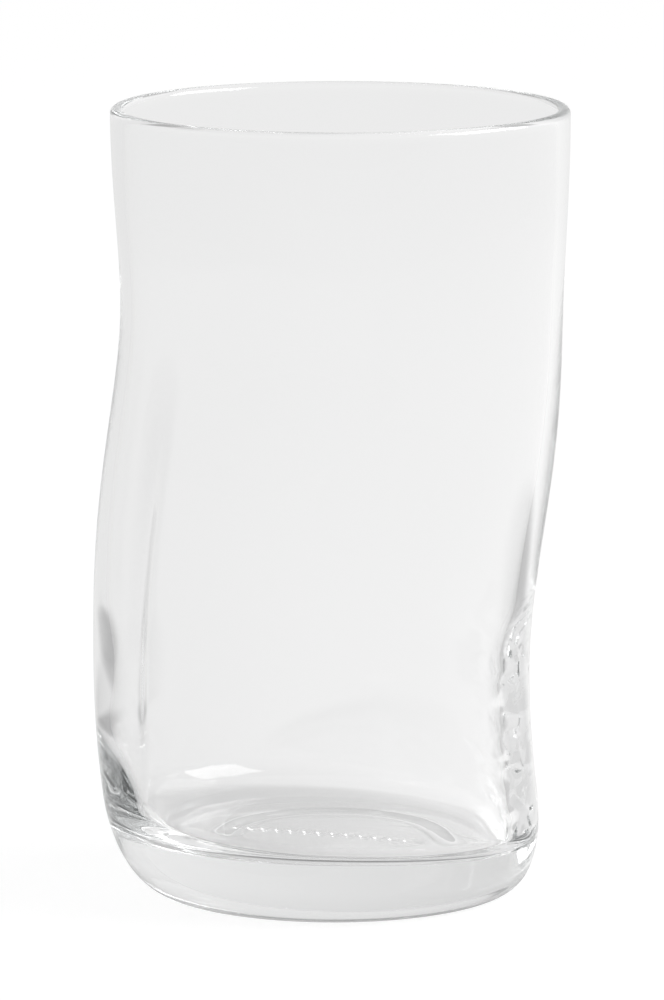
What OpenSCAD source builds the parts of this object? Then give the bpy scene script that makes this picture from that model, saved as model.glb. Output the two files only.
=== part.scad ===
// Wavy long-drink glass, pressed and blown as one piece of clear glass.
// Its round body snakes from side to side as it rises from a thick base to a fire-rounded rim.
// Lengths are in millimetres. +Z is up, the table is z = 0, and -Y is the side that the photograph shows.
// Angles round the body are in degrees, from +X (the photograph's right) towards +Y (the back).

/* [Overall size] */
// Height of the glass
glass_h = 140; // [110:1:170]
// Outer diameter at the rim
rim_d = 81; // [70:0.5:92]
// Outer diameter of the body where it runs plain, just above the heel
body_d = 77.6; // [66:0.2:90]
// Diameter of the ring that the glass stands on
foot_d = 58.5; // [50:0.5:64]

/* [Wave of the body] */
// How far the lower bend leans to the left of the foot
lean_left = 4; // [0:0.1:6]
// How far the upper bend leans to the right of the foot
lean_right = 1.4; // [0:0.1:4]
// How far the rim comes back towards the foot's axis from the upper bend
rim_return = 0.3; // [0:0.1:1.4]
// How far the body swells out between the two bends
swell = 1.1; // [0:0.1:2]

/* [Wall and rim] */
// Thickness of the rounded lip
lip_t = 2.4; // [1.6:0.1:3.2]
// Thickness of the wall at its thinnest, below the lip
wall_t = 2; // [1.2:0.1:3]
// Thickness of the wall at the lower bend
low_wall_t = 3.2; // [2:0.1:4.5]

/* [Base] */
// Height of the rounded heel, where the side has turned upright
heel_h = 18.5; // [8:0.5:22]
// Fullness of the heel's curve: 2 is a plain quarter ellipse, and more is squarer
heel_fullness = 2.2; // [1.6:0.1:3]
// Thickness of the glass under the middle of the cavity
floor_t = 11.5; // [8:0.1:18]
// How much higher the cavity's floor lies at the left wall than in the middle
rise_left = 0.5; // [0:0.1:2]
// Radius of the cove between the cavity's wall and its floor, at the right
cove_r = 3; // [1.5:0.1:8]
// How much larger the cove's radius grows at the left
cove_more = 3; // [0:0.1:6]
// Diameter of the hollow under the base
hollow_d = 46; // [30:0.5:48]
// Depth of the hollow under the base
hollow_h = 2; // [1:0.1:4]
// Width of the rounded step at the edge of the hollow
hollow_edge_w = 7; // [2:0.5:12]

/* [Glass pooled in the lower left corner] */
// Extra thickness of the wall there
pool_t = 1.8; // [0:0.1:5]
// Height above the cavity's floor up to which the pool keeps its full thickness
pool_full_h = 5.5; // [0:0.5:10]
// Height above the cavity's floor at which the pool has died away
pool_top_h = 19.5; // [17:0.5:40]
// Direction in which the pool is thickest
pool_angle = 188; // [150:1:220]
// Turn from there to where the pool has died away, on either side
pool_reach = 55; // [30:1:90]

/* [Smoothness] */
// Facets around the body
facets = 64; // [24:4:72]
// Rings of facets up the outside of the body
body_steps = 26; // [12:1:30]
// Rings of facets down the wall of the cavity, from the lip to the top of the pool
bore_steps = 19; // [12:1:24]
// Rings of facets down the pool, from its top to the cove
pool_steps = 8; // [4:1:12]

/* [Hidden] */

// Heights of the bends, as shares of the glass's height
low_bend_share = 0.286;
high_bend_share = 0.771;
swell_share = 0.535;
swell_reach_share = 0.27;
flare_share = 0.68;
low_wall_share = 0.3;
thin_wall_share = 0.8;

low_bend_h = low_bend_share * glass_h;
high_bend_h = high_bend_share * glass_h;
swell_h = swell_share * glass_h;
swell_reach = swell_reach_share * glass_h;
pool_full_z = floor_t + pool_full_h;
pool_top_z = floor_t + pool_top_h;
lip_r = lip_t / 2;
lip_h = glass_h - lip_r;
overrun = lip_t;

// Steps of the small round forms
heel_steps = 10;
lip_steps = 6;
cove_steps = 6;
floor_steps = 4;
edge_steps = 8;

// Rises from 0 to 1 in an even S between two heights
function ease(z, from, to) = z <= from ? 0 : z >= to ? 1 : (1 - cos(180 * (z - from) / (to - from))) / 2;

// Rises to 1 at a height and falls back to 0, within a reach on either side
function bump(z, at, reach) = ease(z, at - reach, at) - ease(z, at, at + reach);

// Is 1 in one direction round the body, and falls to 0 within a reach on either side
function around(angle, at, reach) =
    let (away = abs((angle - at + 540) % 360 - 180))
    away < reach ? (1 + cos(180 * away / reach)) / 2 : 0;

// Centre line of the body: a quarter wave up to the lower bend, then half a wave to the upper one
function lean_x(z) = z < low_bend_h
    ? -lean_left * sin(90 * z / low_bend_h)
    : -lean_left + (lean_left + lean_right) * ease(z, low_bend_h, high_bend_h)
        - rim_return * ease(z, high_bend_h, glass_h);

// Outer radius of the body above the heel
function body_r(z) = body_d / 2
    + (rim_d - body_d) / 2 * ease(z, flare_share * glass_h, glass_h)
    + swell * bump(z, swell_h, swell_reach);

// Thickness of the wall, thicker low down and most of all in the lower left corner
function wall_at(z, angle) = wall_t
    + (lip_t - wall_t) * ease(z, thin_wall_share * glass_h, glass_h)
    + (low_wall_t - wall_t) * (1 - ease(z, low_wall_share * glass_h, thin_wall_share * glass_h))
    + pool_t * around(angle, pool_angle, pool_reach) * (1 - ease(z, pool_full_z, pool_top_z));

// The cavity's floor where it meets the cove, and the cove's radius, in one direction
function floor_at(angle) = floor_t - rise_left * cos(angle);
function cove_at(angle) = cove_r + cove_more * (1 - cos(angle)) / 2;

// Profile of the outside, as [height, radius], from the foot's ring over the heel to the lip
heel_profile = [for (i = [0:heel_steps]) let (turn = 90 * i / heel_steps)
    [heel_h * (1 - pow(cos(turn), 2 / heel_fullness)),
        foot_d / 2 + (body_r(heel_h) - foot_d / 2) * pow(sin(turn), 2 / heel_fullness)]];
body_profile = [for (i = [1:body_steps]) let (z = heel_h + (lip_h - heel_h) * i / body_steps) [z, body_r(z)]];
lip_profile = [for (i = [1:lip_steps - 1]) let (turn = 180 * i / lip_steps)
    [lip_h + lip_r * sin(turn), body_r(lip_h) - lip_r * (1 - cos(turn))]];

angles = [for (j = [0:facets - 1]) 360 * j / facets];

function outer_ring(z, r) = [for (angle = angles) [lean_x(z) + r * cos(angle), r * sin(angle), z]];

// A point of the cavity's skin, drawn in from the wall
function inner_point(z, angle, drawn_in) = let (r = body_r(z) - wall_at(z, angle) - drawn_in)
    [lean_x(z) + r * cos(angle), r * sin(angle), z];

function bore_ring(z) = [for (angle = angles) inner_point(z, angle, 0)];

// Rings from the pool's top, share 0, down to the cove's top, share 1
function pool_ring(share) = [for (angle = angles)
    inner_point(pool_top_z + (floor_at(angle) + cove_at(angle) - pool_top_z) * share, angle, 0)];

function cove_point(turn, angle) = let (radius = cove_at(angle))
    inner_point(floor_at(angle) + radius * (1 - sin(turn)), angle, radius * (1 - cos(turn)));
function cove_ring(turn) = [for (angle = angles) cove_point(turn, angle)];

// Rings of the floor, from its middle, share 0, out to the cove's foot, share 1
floor_middle = [lean_x(floor_t), 0, floor_t];
function floor_ring(share) = [for (angle = angles) floor_middle + (cove_point(90, angle) - floor_middle) * share];

rings = concat(
    [for (place = concat(heel_profile, body_profile, lip_profile)) outer_ring(place[0], place[1])],
    [for (i = [0:bore_steps]) bore_ring(lip_h + (pool_top_z - lip_h) * i / bore_steps)],
    [for (i = [1:pool_steps]) pool_ring(i / pool_steps)],
    [for (i = [1:cove_steps]) cove_ring(90 * i / cove_steps)],
    [for (i = [1:floor_steps - 1]) floor_ring(1 - i / floor_steps)]);
points = concat([for (ring = rings) each ring], [floor_middle]);

// The body is shifted so that the middle of its whole outline lies on the axis
shift_x = -(min([for (p = points) p[0]]) + max([for (p = points) p[0]])) / 2;

last_ring = len(rings) - 1;
function at(i, j) = i * facets + j % facets;
wall_faces = [for (i = [0:last_ring - 1], j = [0:facets - 1], side = [0, 1])
    side == 0 ? [at(i, j), at(i + 1, j), at(i + 1, j + 1)] : [at(i, j), at(i + 1, j + 1), at(i, j + 1)]];
foot_face = [for (j = [0:facets - 1]) j];
floor_faces = [for (j = [0:facets - 1]) [at(last_ring, j), len(points) - 1, at(last_ring, j + 1)]];

// The blown body, solid underneath
module body() {
    polyhedron(points = points, faces = concat([foot_face], wall_faces, floor_faces), convexity = 6);
}

// The shallow hollow that the base is pressed with, so that it stands on a ring
module hollow() {
    edge = [for (i = [0:edge_steps]) let (share = i / edge_steps)
        [hollow_d / 2 - hollow_edge_w * share, hollow_h * ease(share, 0, 1)]];
    rotate_extrude($fn = facets)
        polygon(concat([[0, -overrun], [hollow_d / 2, -overrun]], edge, [[0, hollow_h]]));
}

module tumbler() {
    color("lightcyan", 0.5)
    translate([shift_x, 0, 0])
    difference() {
        body();
        hollow();
    }
}

tumbler();
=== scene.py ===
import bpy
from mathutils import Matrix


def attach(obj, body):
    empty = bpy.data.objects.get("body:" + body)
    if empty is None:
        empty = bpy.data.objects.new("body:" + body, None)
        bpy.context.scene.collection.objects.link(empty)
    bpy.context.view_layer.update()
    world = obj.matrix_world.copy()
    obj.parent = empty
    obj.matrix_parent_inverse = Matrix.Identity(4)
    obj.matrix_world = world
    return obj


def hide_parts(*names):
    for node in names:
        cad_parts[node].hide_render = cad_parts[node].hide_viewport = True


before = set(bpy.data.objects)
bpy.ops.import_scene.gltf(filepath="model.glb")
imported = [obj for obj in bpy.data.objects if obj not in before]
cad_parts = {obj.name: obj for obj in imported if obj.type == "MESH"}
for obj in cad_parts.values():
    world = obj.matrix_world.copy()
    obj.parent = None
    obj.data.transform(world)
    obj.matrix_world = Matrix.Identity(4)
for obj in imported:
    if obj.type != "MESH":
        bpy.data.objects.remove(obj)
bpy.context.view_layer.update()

import math

import bpy
from mathutils import Vector
from mathutils.geometry import delaunay_2d_cdt

# A tall drinking glass, pressed and blown as one piece of clear glass. Its round body snakes from side to
# side as it rises from a thick base to a fire-rounded rim. Everything is in metres, +Z up, with the table at
# z = 0 and the side that the photograph shows towards -Y. Places round the body are in degrees, from +X, the
# photograph's right, towards +Y, the back.

MM = 0.001

# Sizes of the glass, as the part's own source has them
GLASS_H = 140 * MM
RIM_D = 81 * MM
BODY_D = 77.6 * MM
FOOT_D = 58.5 * MM
LEAN_LEFT = 4 * MM
LEAN_RIGHT = 1.4 * MM
RIM_RETURN = 0.3 * MM
SWELL = 1.1 * MM
LIP_T = 2.4 * MM
WALL_T = 2 * MM
LOW_WALL_T = 3.2 * MM
HEEL_H = 18.5 * MM
HEEL_FULLNESS = 2.2
COVE_R = 3 * MM
COVE_MORE = 3 * MM
HOLLOW_D = 46 * MM
HOLLOW_H = 2 * MM
HOLLOW_EDGE_W = 7 * MM
POOL_T = 1.8 * MM
POOL_FULL_Z = 17 * MM
POOL_TOP_Z = 31 * MM
POOL_REACH = 55

# Heights of the bends and of the wall's changes, as shares of the glass's height
LOW_BEND_H = 0.286 * GLASS_H
HIGH_BEND_H = 0.771 * GLASS_H
SWELL_H = 0.535 * GLASS_H
SWELL_REACH = 0.27 * GLASS_H
FLARE_H = 0.68 * GLASS_H
LOW_WALL_H = 0.3 * GLASS_H
THIN_WALL_H = 0.8 * GLASS_H
LIP_R = LIP_T / 2
LIP_H = GLASS_H - LIP_R

# The inside of the base is a little finer than in the source. Its floor is slightly domed and dips towards
# the right wall, and the glass that has pooled at the left is thickest in this direction.
FLOOR_T = 11.3 * MM
RISE_LEFT = 0.7 * MM
FLOOR_DIP = 1.6 * MM
FLOOR_DOME = 3
POOL_ANGLE = 175

# Fine relief on the cavity's wall, too shallow for the source. First the upright fold at the front left, with
# the turn over which the wall thickens up to it, and half the turn over which it drops off
FOLD_T = 0.36 * MM
FOLD_RISE = 42
FOLD_DROP = 3
FOLD_TOP_ANGLE = 222
FOLD_LOW_ANGLE = 215
FOLD_TOP_H = 105 * MM
FOLD_TOP_FADE = 40 * MM
FOLD_LOW_H = 18 * MM
FOLD_LOW_FADE = 22 * MM
# The glass gathered at the right, inside the hollow side of the wave
GATHER_T = 1.2 * MM
GATHER_ANGLE = 5
GATHER_REACH = 45
GATHER_H = 42 * MM
GATHER_FADE = 12 * MM
# The low lump at the left, inside the lower bend
LUMP_T = 0.4 * MM
LUMP_ANGLE = 176
LUMP_REACH = 40
LUMP_H = 42 * MM
LUMP_UP = 12 * MM
# The chill marks on the gathered glass are three trains of ripples. Each has its share of the depth, its
# share of the length, and the degrees round the body for each radian that it twists.
RIPPLE_T = 0.16 * MM
RIPPLE_L = 9 * MM
RIPPLES = ((1, 1, 9), (0.7, 0.61, -6), (0.5, 0.37, 4))

# The generic row of dots, raised on the roof of the hollow
DOTS = 13
DOT_GAP = 2.6 * MM
DOT_R = 1.0 * MM
DOT_H = 0.7 * MM
DOTS_TURN = -15
DOTS_X = -2.2 * MM
DOTS_Y = 2 * MM

# Rows of the fine mesh, the gap round each dot's own rings, and how near two flat places count as one
AROUND = 240
HEEL_ROWS = 24
BODY_ROWS = 110
LIP_ROWS = 16
BORE_ROWS = 110
COVE_ROWS = 20
FLOOR_ROWS = 20
FOOT_ROWS = 5
HOLLOW_RINGS = 36
DOT_RINGS = 5
DOT_AROUND = 20
DOT_CLEAR = 0.15 * MM
MERGE = 1e-9

# What the room and the table give: as light, as seen in the glass, and as seen by the camera
ROOM_LEVELS = (0.6, 0.84, 1.0)
TABLE_GLOW = (0.0, 0.82, 0.9)
TABLE_PAPER = (0.85, 0.12, 0.2)

# Tones that only the glass shows. The room grows darker overhead, between these sines of the height.
CEILING = 0.6
CEILING_RANGE = (0.3, 0.95)
# Room and table are a little paler on the side that this direction points to, and darker on the other.
# On the table this is painted light and shade.
PALE_SIDE = (0.94, -0.34, 0.0)
DARK_TONE = 0.88
PALE_TONE = 1.12
# Soft round patches of painted shade on the table: its painted shade under the glass, and two dark patches of
# painted shade behind it that only the glass's edges show. Each has its middle, the radius of its core, the
# radius of its edge and its tone.
PAINTED_SHADE_PATCHES = (
    ((-0.012, 0.002, 0.0), 0.036, 0.046, 0.76),
    ((0.15, 0.12, 0.0), 0.035, 0.08, 0.48),
    ((-0.14, 0.12, 0.0), 0.035, 0.08, 0.48),
)
# The foot's contact shadow is painted on the table as a ring round it, deepest at the front
SHADOW_IN = (0.028, 0.031)
SHADOW_OUT = (0.036, 0.042)
SHADOW_SIDE = (0.34, -0.94, 0.0)
SHADOW_LEAST = 0.08
SHADOW_MOST = 0.68

# The table's edges, and how far it lies below the foot
TABLE_SIDE = 3.0
TABLE_NEAR = -0.8
TABLE_FAR = 4.0
TABLE_DROP = 0.1 * MM

# The soft lamp at the right, and the height on the glass's axis that it points at
LAMP_PLACE = (0.85, -0.1, 0.62)
LAMP_W = 0.9
LAMP_H = 0.6
LAMP_WATTS = 7.0
LAMP_AIM_H = 70 * MM

# The photograph's viewpoint: a long lens about 1.3 m away, looking a little down on the middle of the glass.
# Lens and sensor are in millimetres, as the camera takes them, and the last value is how far it sees.
VIEW_MIDDLE = (0.26 * MM, -0.45 * MM, 70 * MM)
VIEW_AWAY = 1.3
VIEW_DOWN = 9.66
VIEW_LENS = 264.1
VIEW_SENSOR = 36
VIEW_SHIFT = -0.0007
VIEW_REACH = 20

# Light that is caught in the pooled glass meets its skin this often before it comes out
BOUNCES = 1024


def ease(z, start, end):
    """Rises from 0 to 1 in an even S between two heights."""
    if z <= start:
        return 0
    return 1 if z >= end else (1 - math.cos(math.pi * (z - start) / (end - start))) / 2


def bump(z, at, reach):
    """Rises to 1 at a height and falls back to 0, within a reach on either side."""
    return ease(z, at - reach, at) - ease(z, at, at + reach)


def turn_from(angle, place):
    """How far an angle, in radians, lies from a place round the body, in degrees from -180 to 180."""
    return (math.degrees(angle) - place + 180) % 360 - 180


def around(angle, place, reach):
    """1 at a place round the body, falling to 0 within a reach on either side."""
    away = abs(turn_from(angle, place))
    return (1 + math.cos(math.pi * away / reach)) / 2 if away < reach else 0


def lean_x(z):
    """Centre line of the body: a quarter wave up to the lower bend, then half a wave to the upper one."""
    if z < LOW_BEND_H:
        return -LEAN_LEFT * math.sin(math.pi / 2 * z / LOW_BEND_H)
    return (-LEAN_LEFT + (LEAN_LEFT + LEAN_RIGHT) * ease(z, LOW_BEND_H, HIGH_BEND_H)
            - RIM_RETURN * ease(z, HIGH_BEND_H, GLASS_H))


def body_r(z):
    """Outer radius of the body above the heel."""
    return (BODY_D / 2 + (RIM_D - BODY_D) / 2 * ease(z, FLARE_H, GLASS_H)
            + SWELL * bump(z, SWELL_H, SWELL_REACH))


def wall_at(z, angle):
    """Thickness of the wall, thicker low down and most of all in the lower left corner."""
    return (WALL_T + (LIP_T - WALL_T) * ease(z, THIN_WALL_H, GLASS_H)
            + (LOW_WALL_T - WALL_T) * (1 - ease(z, LOW_WALL_H, THIN_WALL_H))
            + POOL_T * around(angle, POOL_ANGLE, POOL_REACH) * (1 - ease(z, POOL_FULL_Z, POOL_TOP_Z))
            + fold_at(z, angle) + gathered_at(z, angle) + lump_at(z, angle))


def fold_at(z, angle):
    """The soft upright fold: the wall thickens slowly from the left up to it, and then drops off at once."""
    place = FOLD_TOP_ANGLE + (FOLD_LOW_ANGLE - FOLD_TOP_ANGLE) * (FOLD_TOP_H - z) / FOLD_TOP_H
    away = turn_from(angle, place)
    fade_in = ease(z, FOLD_LOW_H, FOLD_LOW_H + FOLD_LOW_FADE)
    fade_out = 1 - ease(z, FOLD_TOP_H - FOLD_TOP_FADE, FOLD_TOP_H)
    across = (1 - ease(away, -FOLD_DROP, FOLD_DROP)) * ease(away, -FOLD_RISE, -FOLD_DROP)
    return FOLD_T * fade_in * fade_out * across


def gathered_at(z, angle):
    """Glass gathered at the right, with chill marks where it met the cold mould first."""
    share = around(angle, GATHER_ANGLE, GATHER_REACH) * (1 - ease(z, GATHER_H, GATHER_H + GATHER_FADE))
    turn = math.degrees(angle)
    waves = sum(depth * math.sin(2 * math.pi * z / (length * RIPPLE_L) + turn / twist)
                for depth, length, twist in RIPPLES)
    return share * (GATHER_T + RIPPLE_T * waves)


def lump_at(z, angle):
    """The low lump inside the lower bend."""
    return LUMP_T * around(angle, LUMP_ANGLE, LUMP_REACH) * bump(z, LUMP_H, LUMP_UP)


def outer_place(z, r):
    """A place on the outside, as a function of the angle round the body."""
    return lambda angle: (lean_x(z) + r * math.cos(angle), r * math.sin(angle), z)


def heel_point(turn):
    """Height and radius on the heel, from the foot's ring at no turn to the upright side at a quarter."""
    return (HEEL_H * (1 - math.cos(turn) ** (2 / HEEL_FULLNESS)),
            FOOT_D / 2 + (body_r(HEEL_H) - FOOT_D / 2) * math.sin(turn) ** (2 / HEEL_FULLNESS))


def floor_at(angle):
    """Height of the cavity's floor where it meets the cove."""
    return FLOOR_T - RISE_LEFT * math.cos(angle) - FLOOR_DIP * max(0, math.cos(angle)) ** 2


def cove_at(angle):
    """Radius of the cove between the cavity's floor and its wall, larger towards the left."""
    return COVE_R + COVE_MORE * (1 - math.cos(angle)) / 2


def inner_place(z, angle, drawn_in):
    """A place on the cavity's skin, drawn in from its wall."""
    r = body_r(z) - wall_at(z, angle) - drawn_in
    return (lean_x(z) + r * math.cos(angle), r * math.sin(angle), z)


def bore_place(share):
    """A place on the cavity's wall, its share of the way down from the lip to the cove."""
    def place(angle):
        return inner_place(LIP_H + (floor_at(angle) + cove_at(angle) - LIP_H) * share, angle, 0)
    return place


def cove_place(turn):
    """A place on the cove, from the wall at no turn to the floor at a quarter turn."""
    def place(angle):
        radius = cove_at(angle)
        z = floor_at(angle) + radius * (1 - math.sin(turn))
        return inner_place(z, angle, radius * (1 - math.cos(turn)))
    return place


def floor_place(share):
    """A place on the domed floor of the cavity, its share of the way out from the middle to the cove."""
    def place(angle):
        middle = Vector((lean_x(FLOOR_T), 0, FLOOR_T))
        rim = Vector(cove_place(math.pi / 2)(angle))
        x, y, _ = middle.lerp(rim, share)
        return (x, y, middle.z + (rim.z - middle.z) * share ** FLOOR_DOME)
    return place


def profile():
    """The skin of the glass as rows, from the foot's ring out, up, over the lip and down inside."""
    rows = []
    for i in range(FOOT_ROWS):
        rows.append(outer_place(0, HOLLOW_D / 2 + (FOOT_D - HOLLOW_D) / 2 * i / FOOT_ROWS))
    for i in range(HEEL_ROWS + 1):
        rows.append(outer_place(*heel_point(math.pi / 2 * i / HEEL_ROWS)))
    for i in range(1, BODY_ROWS + 1):
        z = HEEL_H + (LIP_H - HEEL_H) * i / BODY_ROWS
        rows.append(outer_place(z, body_r(z)))
    for i in range(1, LIP_ROWS):
        turn = math.pi * i / LIP_ROWS
        rows.append(outer_place(LIP_H + LIP_R * math.sin(turn), body_r(LIP_H) - LIP_R * (1 - math.cos(turn))))
    for i in range(BORE_ROWS + 1):
        rows.append(bore_place(i / BORE_ROWS))
    for i in range(1, COVE_ROWS + 1):
        rows.append(cove_place(math.pi / 2 * i / COVE_ROWS))
    for i in range(1, FLOOR_ROWS):
        rows.append(floor_place(1 - i / FLOOR_ROWS))
    return rows


def ring_round(middle, r, count, start=0):
    """Flat places on a circle, evenly spaced, the first one a share of a step past +X."""
    for i in range(count):
        angle = 2 * math.pi * (i + start) / count
        yield (middle[0] + r * math.cos(angle), middle[1] + r * math.sin(angle))


def dot_places():
    """The dots' middles, evenly spaced on a line that is turned a little."""
    turn = math.radians(DOTS_TURN)
    steps = [(i - (DOTS - 1) / 2) * DOT_GAP for i in range(DOTS)]
    return [(DOTS_X + step * math.cos(turn), DOTS_Y + step * math.sin(turn)) for step in steps]


def hollow_at(place, dots):
    """Height of the hollow's skin above the table: a rounded step at its edge, a level roof and the dots."""
    roof = HOLLOW_H * (1 - ease(math.hypot(*place), HOLLOW_D / 2 - HOLLOW_EDGE_W, HOLLOW_D / 2))
    away = min(math.dist(place, dot) for dot in dots)
    return roof - DOT_H * math.sqrt(max(0, 1 - (away / DOT_R) ** 2))


def hollow_places(dots):
    """Flat places all over the hollow: rings round its axis, its edge first, and finer ones round each dot."""
    flat = list(ring_round((0, 0), HOLLOW_D / 2, AROUND))
    for ring in range(1, HOLLOW_RINGS):
        count = AROUND * ring // HOLLOW_RINGS
        flat += ring_round((0, 0), HOLLOW_D / 2 * ring / HOLLOW_RINGS, count, ring % 2 / 2)
    flat = [place for place in flat if min(math.dist(place, dot) for dot in dots) > DOT_R + DOT_CLEAR]
    for dot in dots:
        flat.append(dot)
        for ring in range(1, DOT_RINGS + 1):
            flat += ring_round(dot, DOT_R * math.sin(math.pi / 2 * ring / DOT_RINGS), DOT_AROUND)
    return flat


def glass_mesh():
    """The whole glass as one closed skin."""
    rows = profile()
    angles = [2 * math.pi * j / AROUND for j in range(AROUND)]
    verts = [row(angle) for row in rows for angle in angles]
    faces = []
    for i in range(len(rows) - 1):
        for j in range(AROUND):
            k = (j + 1) % AROUND
            faces.append((i * AROUND + j, i * AROUND + k, (i + 1) * AROUND + k, (i + 1) * AROUND + j))
    last = (len(rows) - 1) * AROUND
    floor_middle = len(verts)
    verts.append((lean_x(FLOOR_T), 0, FLOOR_T))
    for j in range(AROUND):
        faces.append((last + j, last + (j + 1) % AROUND, floor_middle))

    # The hollow joins the foot's first row, whose places are the first of its own
    dots = dot_places()
    flat = [Vector(place) for place in hollow_places(dots)]
    inside_only = 1
    places, _, triangles, *_ = delaunay_2d_cdt(flat, [], [list(range(AROUND))], inside_only, MERGE)
    ids = list(range(AROUND)) + [len(verts) + i for i in range(len(places) - AROUND)]
    verts += [(*place, hollow_at(place, dots)) for place in places[AROUND:]]
    faces += [tuple(ids[i] for i in reversed(triangle)) for triangle in triangles]

    # The middle of the whole outline lies on the axis, as in the frame
    shift = -(min(v[0] for v in verts) + max(v[0] for v in verts)) / 2
    mesh = bpy.data.meshes.new("tumbler_glass")
    mesh.from_pydata([(x + shift, y, z) for x, y, z in verts], [], faces)
    mesh.polygons.foreach_set("use_smooth", [True] * len(mesh.polygons))
    mesh.update()
    return mesh


def add(tree, kind, settings=None, links=None):
    """Adds a node with its settings, its sockets' values and its links. A socket goes by name or number."""
    node = tree.nodes.new(kind)
    for name, value in (settings or {}).items():
        if isinstance(name, int) or name in node.inputs:
            node.inputs[name].default_value = value
        else:
            setattr(node, name, value)
    for name, source in (links or {}).items():
        tree.links.new(source, node.inputs[name])
    return node


def hex_colour(text):
    """An sRGB hex colour as linear light."""
    parts = [int(text[i:i + 2], 16) / 255 for i in (1, 3, 5)]
    return tuple(c / 12.92 if c <= 0.04045 else ((c + 0.055) / 1.055) ** 2.4 for c in parts) + (1,)


def empty_tree(owner):
    """The owner's own node tree, with nothing in it."""
    owner.use_nodes = True
    owner.node_tree.nodes.clear()
    return owner.node_tree


def soda_lime_glass():
    """Clear soda-lime glass, pressed, blown and fire-polished.

    Its skin is as smooth as a liquid's, so it mirrors sharply, and it bends what lies behind it. It has no
    colour in the thin wall, and the little that it takes from the light turns the thick base grey.
    """
    material = bpy.data.materials.new("clear_soda_lime_glass")
    tree = empty_tree(material)
    skin = add(tree, "ShaderNodeBsdfPrincipled", {
        "Base Color": hex_colour("#ffffff"), "Roughness": 0.0, "IOR": 1.52, "Transmission Weight": 1.0})
    depth = add(tree, "ShaderNodeVolumeAbsorption", {"Color": hex_colour("#eaebeb"), "Density": 5.5})
    add(tree, "ShaderNodeOutputMaterial", {}, {"Surface": skin.outputs[0], "Volume": depth.outputs[0]})
    return material


def by_ray(tree, levels, shade=None):
    """A level for light that is gathered, one for what glass shows, and one for what the camera meets.

    A shade darkens the first two, and never what the camera meets.
    """
    path = add(tree, "ShaderNodeLightPath")
    seen = path.outputs["Is Camera Ray"]
    for ray in ("Is Glossy Ray", "Is Transmission Ray"):
        seen = add(tree, "ShaderNodeMath", {"operation": "ADD", "use_clamp": True},
                   {0: seen, 1: path.outputs[ray]}).outputs[0]
    level = add(tree, "ShaderNodeMix", {"data_type": "FLOAT", 2: levels[0], 3: levels[1]},
                {0: seen}).outputs[0]
    if shade is not None:
        level = add(tree, "ShaderNodeMath", {"operation": "MULTIPLY"}, {0: level, 1: shade}).outputs[0]
    final = add(tree, "ShaderNodeMix", {"data_type": "FLOAT", 3: levels[2]},
                {0: path.outputs["Is Camera Ray"], 2: level})
    return final.outputs[0]


def soft_step(start, end, low, high):
    """The settings that turn a distance into an even S from one value to another."""
    return {"interpolation_type": "SMOOTHSTEP",
            "From Min": start, "From Max": end, "To Min": low, "To Max": high}


def side_tone(tree, place, side, away, toward):
    """One value on the side of the glass that a direction points to, and another on the side away from it."""
    level = add(tree, "ShaderNodeVectorMath", {"operation": "MULTIPLY", 1: (1, 1, 0)}, {0: place})
    unit = add(tree, "ShaderNodeVectorMath", {"operation": "NORMALIZE"}, {0: level.outputs[0]})
    share = add(tree, "ShaderNodeVectorMath", {"operation": "DOT_PRODUCT", 1: side}, {0: unit.outputs[0]})
    tone = add(tree, "ShaderNodeMapRange", soft_step(-1.0, 1.0, away, toward),
               {"Value": share.outputs["Value"]})
    return tone.outputs[0]


def painted_patch_tone(tree, place, middle, core, edge, tone):
    """A soft round patch of painted shade on the table, with its tone inside and 1 outside."""
    away = add(tree, "ShaderNodeVectorMath", {"operation": "DISTANCE", 1: middle}, {0: place})
    patch = add(tree, "ShaderNodeMapRange", soft_step(core, edge, tone, 1.0),
                {"Value": away.outputs["Value"]})
    return patch.outputs[0]


def painted_contact_shadow(tree, place):
    """The painted contact shadow: a soft dark ring where the foot meets the table, and 1 elsewhere."""
    away = add(tree, "ShaderNodeVectorMath", {"operation": "LENGTH"}, {0: place}).outputs["Value"]
    depth = side_tone(tree, place, SHADOW_SIDE, SHADOW_LEAST, SHADOW_MOST)
    for step in (soft_step(*SHADOW_IN, 0.0, 1.0), soft_step(*SHADOW_OUT, 1.0, 0.0)):
        share = add(tree, "ShaderNodeMapRange", step, {"Value": away})
        product = add(tree, "ShaderNodeMath", {"operation": "MULTIPLY"}, {0: depth, 1: share.outputs[0]})
        depth = product.outputs[0]
    return add(tree, "ShaderNodeMath", {"operation": "SUBTRACT", 0: 1.0}, {1: depth}).outputs[0]


def painted_table_shade(tree):
    """How the glass shows the table, place by place: painted light and shade, paler or darker than its own
    level.
    """
    place = add(tree, "ShaderNodeTexCoord").outputs["Object"]
    # Painted light and shade on the table: a paler side, patches of painted shade and the painted contact
    # shadow
    shade = side_tone(tree, place, PALE_SIDE, DARK_TONE, PALE_TONE)
    for tone in [painted_patch_tone(tree, place, *patch) for patch in PAINTED_SHADE_PATCHES] + [painted_contact_shadow(tree, place)]:
        shade = add(tree, "ShaderNodeMath", {"operation": "MULTIPLY"}, {0: shade, 1: tone}).outputs[0]
    return shade


def room_shade(tree):
    """How the glass shows the room: darker overhead, and paler on one side."""
    place = add(tree, "ShaderNodeTexCoord").outputs["Generated"]
    split = add(tree, "ShaderNodeSeparateXYZ", {}, {0: place})
    up = add(tree, "ShaderNodeMapRange", soft_step(*CEILING_RANGE, 1.0, CEILING),
             {"Value": split.outputs["Z"]})
    sides = side_tone(tree, place, PALE_SIDE, DARK_TONE, PALE_TONE)
    return add(tree, "ShaderNodeMath", {"operation": "MULTIPLY"}, {0: up.outputs[0], 1: sides}).outputs[0]


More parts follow.
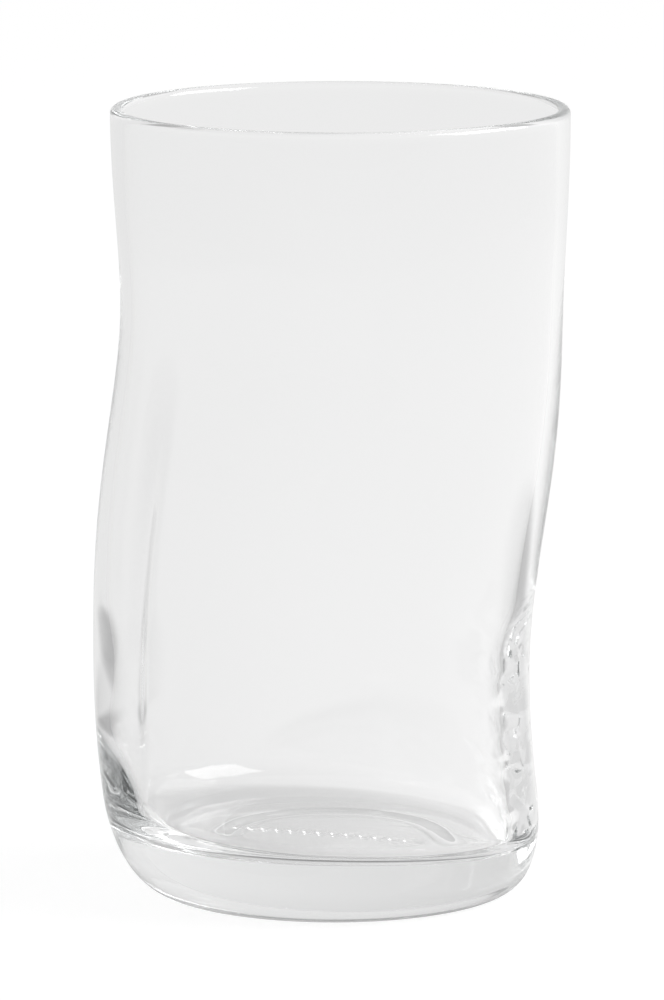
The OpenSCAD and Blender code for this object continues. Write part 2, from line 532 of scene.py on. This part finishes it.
def room():
    """The pale studio round the table: plain soft light, and a white background for the camera."""
    world = bpy.data.worlds.new("studio")
    bpy.context.scene.world = world
    tree = empty_tree(world)
    light = add(tree, "ShaderNodeBackground", {"Color": hex_colour("#ffffff")},
                {"Strength": by_ray(tree, ROOM_LEVELS, room_shade(tree))})
    add(tree, "ShaderNodeOutputWorld", {}, {"Surface": light.outputs[0]})


def white_paper():
    """Uncoated white paper, which has no shine and keeps the glass's shadow.

    It glows a little for the camera and in the glass, so that it stays white there, and in the glass its glow
    carries painted light and shade.
    """
    material = bpy.data.materials.new("white_paper")
    tree = empty_tree(material)
    glow = add(tree, "ShaderNodeEmission", {"Color": hex_colour("#ffffff")},
               {"Strength": by_ray(tree, TABLE_GLOW, painted_table_shade(tree))})
    sheet = add(tree, "ShaderNodeBsdfDiffuse", {}, {"Color": by_ray(tree, TABLE_PAPER)})
    both = add(tree, "ShaderNodeAddShader", {}, {0: glow.outputs[0], 1: sheet.outputs[0]})
    add(tree, "ShaderNodeOutputMaterial", {}, {"Surface": both.outputs[0]})
    return material


def table():
    mesh = bpy.data.meshes.new("table")
    corners = [(-TABLE_SIDE, TABLE_NEAR, 0), (TABLE_SIDE, TABLE_NEAR, 0),
               (TABLE_SIDE, TABLE_FAR, 0), (-TABLE_SIDE, TABLE_FAR, 0)]
    mesh.from_pydata(corners, [], [(0, 1, 2, 3)])
    mesh.materials.append(white_paper())
    top = bpy.data.objects.new("table", mesh)
    top.location.z = -TABLE_DROP
    bpy.context.scene.collection.objects.link(top)


def right_lamp():
    """One tall soft lamp, which the camera doesn't see."""
    lamp = bpy.data.lights.new("right_lamp", "AREA")
    lamp.shape = "RECTANGLE"
    lamp.size = LAMP_W
    lamp.size_y = LAMP_H
    lamp.energy = LAMP_WATTS
    stand = bpy.data.objects.new("right_lamp", lamp)
    bpy.context.scene.collection.objects.link(stand)
    stand.location = LAMP_PLACE
    aim = Vector((0, 0, LAMP_AIM_H)) - Vector(LAMP_PLACE)
    stand.rotation_mode = "QUATERNION"
    stand.rotation_quaternion = aim.to_track_quat("-Z", "Y")
    stand.visible_camera = False


def camera():
    data = bpy.data.cameras.new("camera")
    data.sensor_width = VIEW_SENSOR
    data.lens = VIEW_LENS
    data.shift_y = VIEW_SHIFT
    data.clip_end = VIEW_REACH
    eye = bpy.data.objects.new("camera", data)
    bpy.context.scene.collection.objects.link(eye)
    down = math.radians(VIEW_DOWN)
    back = Vector((0, -math.cos(down), math.sin(down)))
    eye.location = Vector(VIEW_MIDDLE) + back * VIEW_AWAY
    eye.rotation_mode = "QUATERNION"
    eye.rotation_quaternion = (-back).to_track_quat("-Z", "Y")
    bpy.context.scene.camera = eye


glass = bpy.data.objects.new("tumbler_glass", glass_mesh())
bpy.context.scene.collection.objects.link(glass)
glass.data.materials.append(soda_lime_glass())
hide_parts("tumbler")
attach(glass, "root")

room()
table()
right_lamp()
camera()

scene = bpy.context.scene
scene.view_settings.view_transform = "Standard"
scene.cycles.max_bounces = BOUNCES
scene.cycles.glossy_bounces = BOUNCES
scene.cycles.transmission_bounces = BOUNCES
